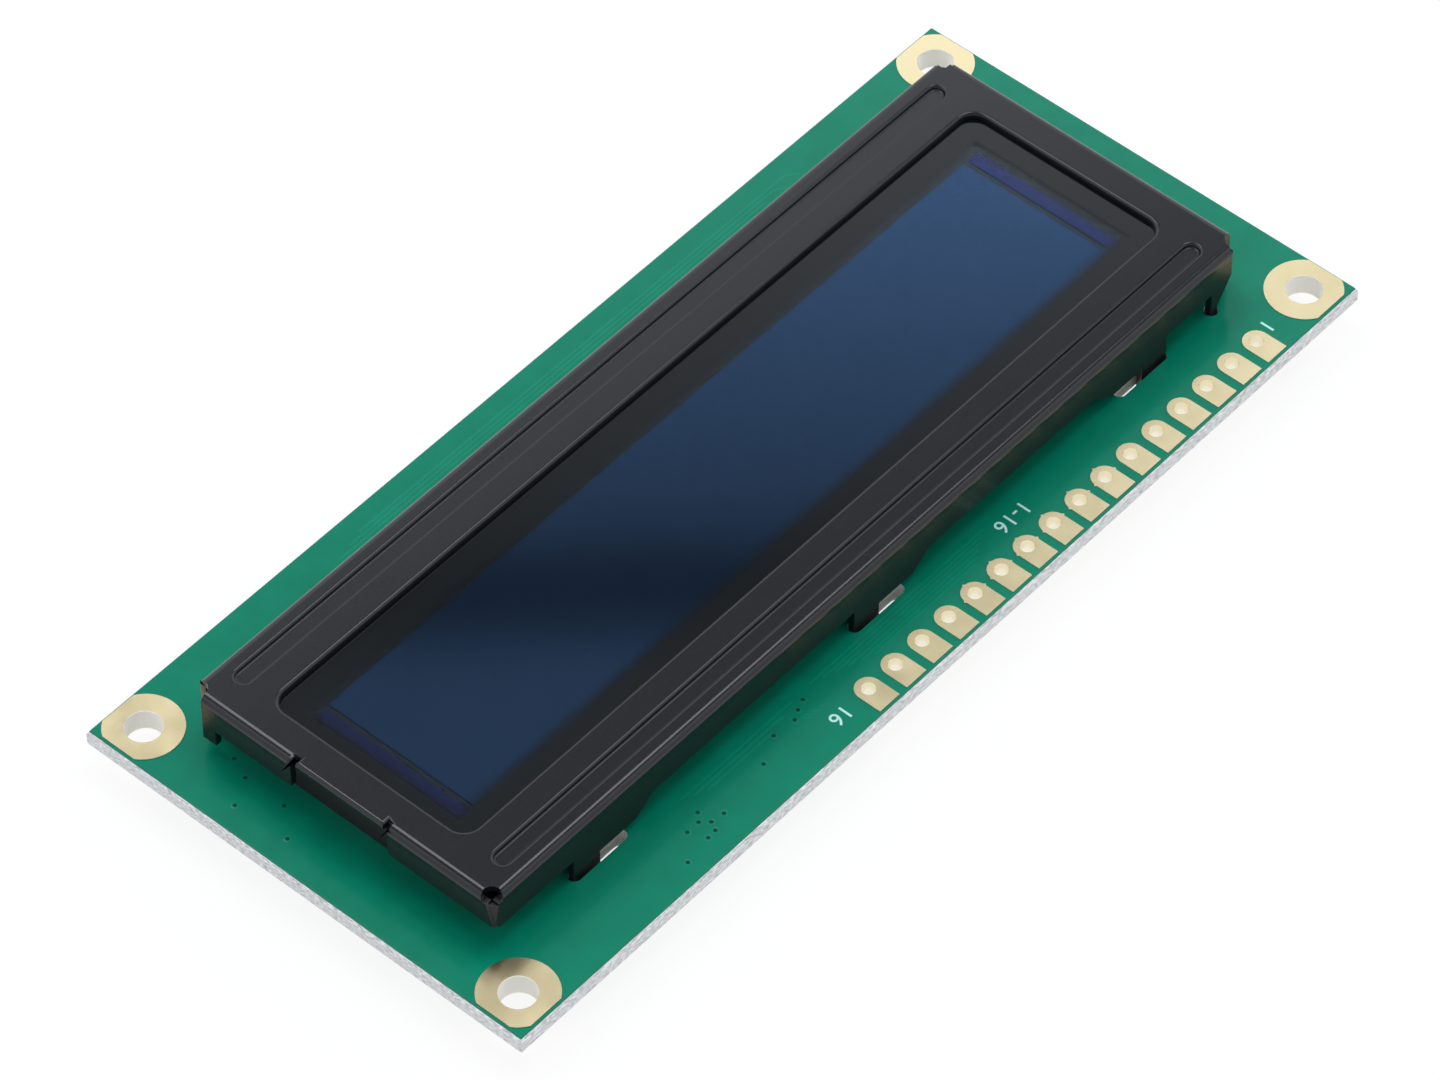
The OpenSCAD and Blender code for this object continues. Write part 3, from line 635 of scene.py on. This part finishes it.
# Studio: a plain white floor, two round soft lamps overhead and a pale tent with a dark seam behind.
# The tent's wall, its seam and its roof are what the panel and the bezel throw back.
# It is open and so darker towards the camera.
FLOOR_REACH = 3.0
FLOOR_WHITE = 0.90
FLOOR_GLOW = 0.90
floor_shape = bpy.data.meshes.new("floor")
floor_shape.from_pydata([(-FLOOR_REACH, -FLOOR_REACH, 0), (FLOOR_REACH, -FLOOR_REACH, 0),
                         (FLOOR_REACH, FLOOR_REACH, 0), (-FLOOR_REACH, FLOOR_REACH, 0)], [], [(0, 1, 2, 3)])
floor = bpy.data.objects.new("floor", floor_shape)
bpy.context.collection.objects.link(floor)
floor_white = bpy.data.materials.new("floor_white")
floor_white.use_nodes = True
tree = floor_white.node_tree
shader = tree.nodes["Principled BSDF"]
shader.inputs["Base Color"].default_value = rgb(FLOOR_WHITE, FLOOR_WHITE, FLOOR_WHITE)
shader.inputs["Roughness"].default_value = 1.0
shader.inputs["Specular IOR Level"].default_value = 0.0
rays = put(tree, "ShaderNodeLightPath")
mirrored = math_of(tree, "MAXIMUM", rays.outputs["Is Glossy Ray"], rays.outputs["Is Transmission Ray"])
seen = math_of(tree, "MAXIMUM", rays.outputs["Is Camera Ray"], mirrored)
glow = put(tree, "ShaderNodeEmission", {"Color": rgb(1, 1, 1), "Strength": 1.0})
lifted = put(tree, "ShaderNodeMixShader", {
    0: math_of(tree, "MULTIPLY", seen, FLOOR_GLOW), 1: shader.outputs[0], 2: glow.outputs[0],
})
tree.links.new(lifted.outputs[0], tree.nodes["Material Output"].inputs["Surface"])
floor_shape.materials.append(floor_white)

TENT_TINT = Vector((0.95, 1.0, 1.07))
TENT_OPEN = 0.50
TENT_SIDE = (0.707, 0.707, 0.0)
TENT_FADE = 0.1, 0.7
TENT_LEVELS = (
    (0.0, 1.00), (0.45, 1.24), (0.66, 1.52), (0.70, 1.56), (0.7265, 1.07), (0.7400, 0.72), (0.7470, 0.58),
    (0.7524, 0.50), (0.7566, 0.42), (0.7595, 0.29), (0.7625, 0.09), (0.7648, 0.06), (0.7680, 0.46),
    (0.7740, 0.46), (0.80, 0.44), (0.86, 0.50), (1.0, 0.60),
)
world = bpy.data.worlds.new("studio")
bpy.context.scene.world = world
world.use_nodes = True
tree = world.node_tree
tree.nodes.clear()
heading = put(tree, "ShaderNodeTexCoord").outputs["Generated"]
tent = put(tree, "ShaderNodeValToRGB", {0: put(tree, "ShaderNodeSeparateXYZ", {0: heading}).outputs["Z"]})
to_camera = put(tree, "ShaderNodeVectorMath", {0: heading, 1: TENT_SIDE}, operation="DOT_PRODUCT")
opening = spread(tree, to_camera.outputs["Value"], *TENT_FADE, 1.0, TENT_OPEN)
ramp = tent.color_ramp
while len(ramp.elements) < len(TENT_LEVELS):
    ramp.elements.new(0.5)
for element, (height, level) in zip(ramp.elements, TENT_LEVELS):
    element.position = height
for element, (height, level) in zip(ramp.elements, TENT_LEVELS):
    element.color = rgb(*(TENT_TINT * level))
rays = put(tree, "ShaderNodeLightPath")
tent_light = blend_colour(tree, 1.0, tent.outputs[0], opening, "MULTIPLY")
sky = put(tree, "ShaderNodeBackground", {
    "Color": blend_colour(tree, rays.outputs["Is Camera Ray"], tent_light, rgb(1, 1, 1)), "Strength": 1.0,
})
put(tree, "ShaderNodeOutputWorld", {"Surface": sky.outputs[0]})

LAMP_LEVEL = 4.4
LAMP_R = 0.21
for name, place in (("lamp_left", (-0.30, 0.07, 0.86)), ("lamp_right", (-0.054, -0.409, 0.80))):
    lamp_data = bpy.data.lights.new(name, "AREA")
    lamp_data.shape = "DISK"
    lamp_data.size = 2 * LAMP_R
    lamp_data.energy = LAMP_LEVEL * math.pi * math.pi * LAMP_R ** 2
    lamp = bpy.data.objects.new(name, lamp_data)
    lamp.location = place
    lamp.rotation_euler = Vector(place).to_track_quat("Z", "Y").to_euler()
    bpy.context.collection.objects.link(lamp)

# Camera: a long lens on the pin side, looking down at about fifty degrees.
# Its place and its turn were measured from the board's own corners and holes.
CAMERA_AT = Vector((228.58, 202.18, 352.54)) * MM
CAMERA_RIGHT = Vector((-0.66011, 0.75114, -0.00599))
CAMERA_DOWN = Vector((0.57294, 0.49832, -0.65071))
camera_data = bpy.data.cameras.new("camera")
camera_data.sensor_width = 36.0
camera_data.lens = 185.8
camera_data.clip_start = 0.01
camera = bpy.data.objects.new("camera", camera_data)
ahead = CAMERA_RIGHT.cross(CAMERA_DOWN)
turn = Matrix((CAMERA_RIGHT, -CAMERA_DOWN, -ahead)).transposed().to_4x4()
camera.matrix_world = Matrix.Translation(CAMERA_AT + Vector((0, 0, BOARD_TOP))) @ turn
bpy.context.collection.objects.link(camera)
bpy.context.scene.camera = camera
bpy.context.scene.view_settings.view_transform = "Standard"
